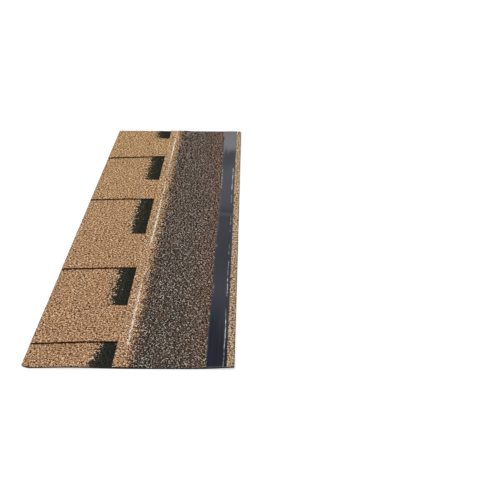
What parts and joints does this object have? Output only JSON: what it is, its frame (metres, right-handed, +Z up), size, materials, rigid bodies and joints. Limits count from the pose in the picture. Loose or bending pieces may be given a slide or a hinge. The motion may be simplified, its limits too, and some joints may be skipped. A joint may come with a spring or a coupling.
{
  "type": "laminated asphalt shingle",
  "caption": "Laminated asphalt roof shingle lying flat: a granule-faced top sheet with flared teeth, bonded to a backing strip, with a release film along its head part and seal dashes below.",
  "frame": {"origin": "centre of the shingle's plan, on the floor that it lies on", "axes": "+X from the butt edge of the teeth to the head edge, +Y along the course, +Z up out of the granule face"},
  "size_m": [0.333, 1, 0.0058],
  "materials": {
    "top_granules": "mineral granules of mixed tan and brown, dark brown and grey over the head part",
    "backing_granules": "mineral granules of mixed tan and brown, black in a shadow band at the closed end of each cut-out",
    "release_film": "thin glossy blue-black film with fine lengthwise wrinkles",
    "seal_bitumen": "soft black bitumen, slightly glossy"
  },
  "bodies": {
    "root": {"top_layer": "top_granules", "backing_strip": "backing_granules", "release_film": "release_film", "seal_strip": "seal_bitumen"}
  },
  "joints": []
}
